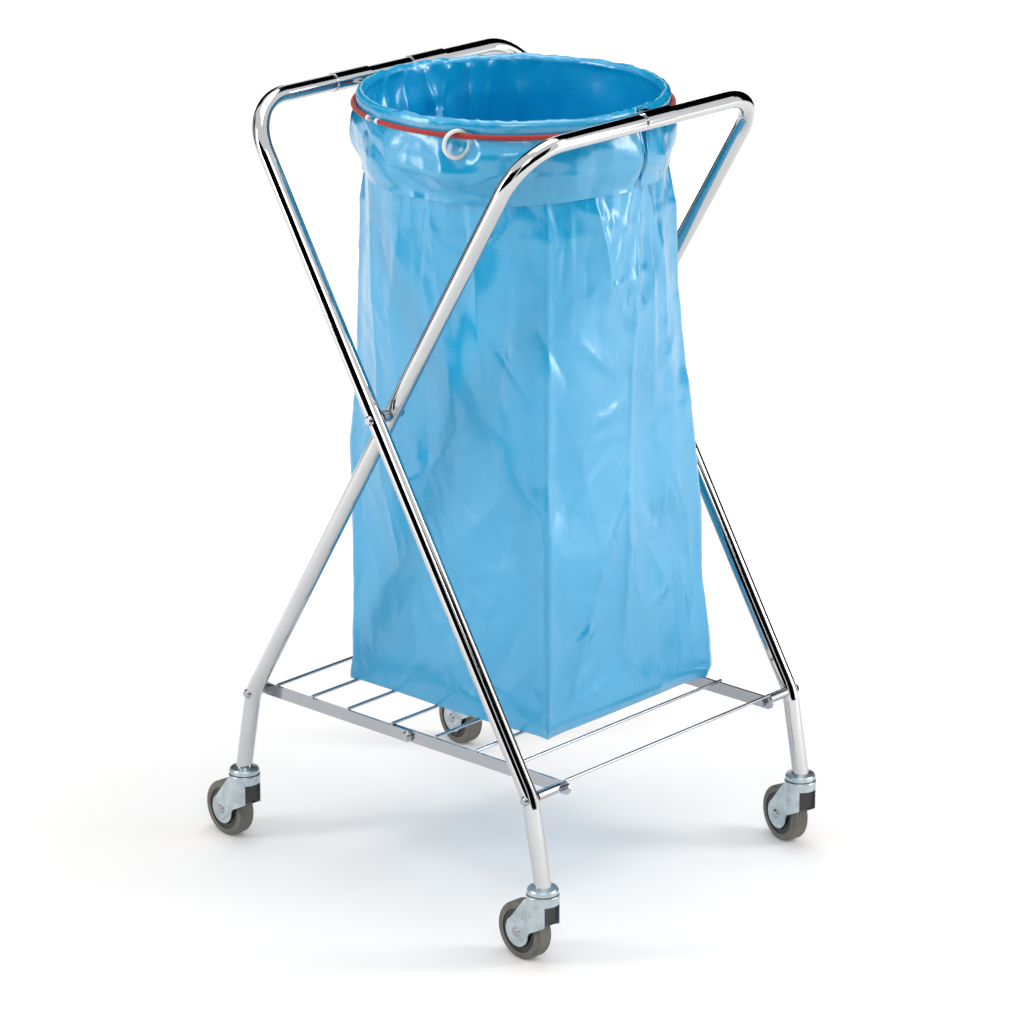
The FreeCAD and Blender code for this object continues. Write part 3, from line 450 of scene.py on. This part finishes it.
# glossy on top, milky inside: light comes through it softly
film = new_material("bag_film", (0.0, 0.43, 0.74), 0.0, 0.22, Specular_IOR_Level=0.6,
                    Coat_Weight=0.8, Coat_IOR=1.75, Coat_Roughness=0.22)
tint = color_from(film, cloudy(film, 5, 3, 0.5), [(0.0, 0.375, 0.675), (0.006, 0.450, 0.785)])
creased = cloudy(film, 7, 3, 0.5, stretch=(1, 1, 0.6), distort=0.6)
creased.noise_type = "RIDGED_MULTIFRACTAL"
crinkles = bump_from(film, creased, 0.30, 0.004)
lines = add(film, "ShaderNodeTexVoronoi", feature="DISTANCE_TO_EDGE", Scale=30)
link(film, stretched(film, (1, 1, 0.6)), "Vector", lines, "Vector")
edge = graded(film, lines, "Distance", 0.0, 1.0, 0.0, 0.10)
bump_from(film, edge, 0.12, 0.0014, out="Result", before=crinkles)
roughness_from(film, cloudy(film, 14, 3), 0.14, 0.32)
through = add(film, "ShaderNodeBsdfTranslucent")
link(film, tint, "Color", through, "Color")
mix = add(film, "ShaderNodeMixShader", Fac=0.18)
link(film, film.node_tree.nodes["Principled BSDF"], "BSDF", mix, 1)
link(film, through, "BSDF", mix, 2)
link(film, mix, "Shader", film.node_tree.nodes["Material Output"], "Surface")
bag_mesh.materials.append(film)
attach(bag, "ring")
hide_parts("bag")
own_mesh(bag)

# The elastic: red braided cord round the cuff, under the ring. Its weave
# gives it a fine rough surface.
elastic = new_material("elastic_weave", (0.42, 0.016, 0.006), 0.0, 0.6, Sheen_Weight=0.08)
color_from(elastic, cloudy(elastic, 500, 3), [(0.26, 0.009, 0.004), (0.46, 0.022, 0.008)])
weave = add(elastic, "ShaderNodeTexVoronoi", Scale=1100)
link(elastic, stretched(elastic), "Vector", weave, "Vector")
bump_from(elastic, weave, 0.5, 0.0004, out="Distance")
finish(elastic, "elastic_band")

# Pull ring on the elastic, and the caps on its ends: white plastic, moulded,
# that lets a little light in.
white_plastic = new_material("white_moulding", (0.82, 0.80, 0.78), 0.0, 0.3, Subsurface_Weight=0.15)
color_from(white_plastic, cloudy(white_plastic, 120, 3), [(0.70, 0.68, 0.67), (0.84, 0.83, 0.82)])
roughness_from(white_plastic, cloudy(white_plastic, 90, 3), 0.24, 0.40)
bump_from(white_plastic, cloudy(white_plastic, 800, 2), 0.08, 0.0002)
finish(white_plastic, "pull_ring", "band_caps")


# The camera stands where the photograph was taken from. It was fitted to the
# straight lines of the frame in the photograph: bars, legs, shelf and castors.
def photo_camera():
    azimuth, elevation, roll = map(math.radians, (42.435, 18.409, -0.074))
    back = Vector((math.sin(azimuth) * math.cos(elevation), -math.cos(azimuth) * math.cos(elevation),
                   math.sin(elevation)))
    right = Vector((math.cos(azimuth), math.sin(azimuth), 0))
    up = back.cross(right)
    right, up = (right * math.cos(roll) + up * math.sin(roll), up * math.cos(roll) - right * math.sin(roll))
    matrix = Matrix((right, up, back)).transposed().to_4x4()
    matrix.translation = Vector((3.2487, -3.5566, 2.0370)) + Vector((RING.x, RING.y, 0))
    data = bpy.data.cameras.new("photo_camera")
    data.sensor_width, data.lens = 36, 148.55
    camera = bpy.data.objects.new("photo_camera", data)
    camera.matrix_world = matrix
    bpy.context.scene.collection.objects.link(camera)
    bpy.context.scene.camera = camera


photo_camera()
scene = bpy.context.scene


# White floor out to the horizon, in a white room. What the eye and mirrors
# see of the room is white, and what falls on the trolley is a little less.
def seen_directly(mat):
    """1 for what the camera, a mirror or glass sees, 0 for light that falls on a surface."""
    path = add(mat, "ShaderNodeLightPath")
    either = add(mat, "ShaderNodeMath", operation="MAXIMUM")
    link(mat, path, "Is Camera Ray", either, 0)
    link(mat, path, "Is Glossy Ray", either, 1)
    any_of = add(mat, "ShaderNodeMath", operation="MAXIMUM")
    link(mat, either, "Value", any_of, 0)
    link(mat, path, "Is Transmission Ray", any_of, 1)
    return any_of


ROOM_LIGHT = 0.50
bpy.ops.object.select_all(action="DESELECT")
bpy.ops.mesh.primitive_plane_add(size=160)
floor = bpy.context.object
floor.name = "studio_floor"
paper = new_material("studio_paper", (0.94, 0.918, 0.898), 0.0, 0.9, Specular_IOR_Level=0.1)
paper_shader = paper.node_tree.nodes["Principled BSDF"]
paper_shader.inputs["Emission Color"].default_value = (1, 1, 1, 1)
# the lamps light the middle of the floor, so it needs less there
off_middle = add(paper, "ShaderNodeVectorMath", operation="LENGTH")
link(paper, stretched(paper), "Vector", off_middle, 0)
filled = add(paper, "ShaderNodeMath", operation="MULTIPLY")
link(paper, seen_directly(paper), "Value", filled, 0)
link(paper, graded(paper, off_middle, "Value", 0.07, 1 - 0.90 * ROOM_LIGHT, 0.5, 2.6), "Result", filled, 1)
link(paper, filled, "Value", paper_shader, "Emission Strength")
floor.data.materials.append(paper)
world = bpy.data.worlds.new("studio")
scene.world = world
world.use_nodes = True
room = world.node_tree.nodes["Background"]
room.inputs["Color"].default_value = (1, 1, 1, 1)
strength = graded(world, seen_directly(world), "Value", ROOM_LIGHT, 1.0, 0.0, 1.0)
link(world, strength, "Result", room, "Strength")
scene.view_settings.view_transform = "Standard"
scene.view_settings.look = "None"
AIM = Vector((0, 0, 0.5))


def area_light(name, place, size, power):
    data = bpy.data.lights.new(name, "AREA")
    data.shape = "RECTANGLE"
    data.size, data.size_y = size
    data.energy = power
    light = bpy.data.objects.new(name, data)
    light.location = place
    light.rotation_euler = (AIM - Vector(place)).to_track_quat("-Z", "Y").to_euler()
    scene.collection.objects.link(light)


area_light("right_softbox", (2.5, 1.9, 1.5), (0.8, 2.8), 50)
area_light("left_softbox", (-1.6, -2.8, 1.5), (0.7, 2.6), 44)
area_light("front_softbox", (2.6, -2.4, 2.8), (1.2, 1.2), 24)
area_light("top_softbox", (0.0, 0.3, 3.2), (2.0, 2.0), 36)

# Black cards stand round the room, with the white room between them. Only
# mirrors see them: they draw the dark lines along the chrome.
CARD_R = 4.6
CARDS = [(-170, -150, 3.4), (-118, -56, 3.4), (-46, 14, 3.4), (62, 130, 9.0), (140, 182, 6.0)]


def standing_card(name, start, end, top):
    """A curved card, from one direction in degrees to another."""
    arc = [math.radians(a) for a in np.linspace(start, end, 9)]
    verts = [(CARD_R * math.cos(a), CARD_R * math.sin(a), z) for a in arc for z in (-0.01, top)]
    quads = [(2 * i, 2 * i + 2, 2 * i + 3, 2 * i + 1) for i in range(len(arc) - 1)]
    data = bpy.data.meshes.new(name)
    data.from_pydata(verts, [], quads)
    data.materials.append(new_material(name, (0.0, 0.0, 0.0), 0.0, 1.0, Specular_IOR_Level=0.0))
    piece = bpy.data.objects.new(name, data)
    piece.visible_camera = piece.visible_diffuse = piece.visible_shadow = False
    piece.visible_transmission = False
    scene.collection.objects.link(piece)


for number, (start, end, top) in enumerate(CARDS):
    standing_card("dark_card_%d" % number, start, end, top)
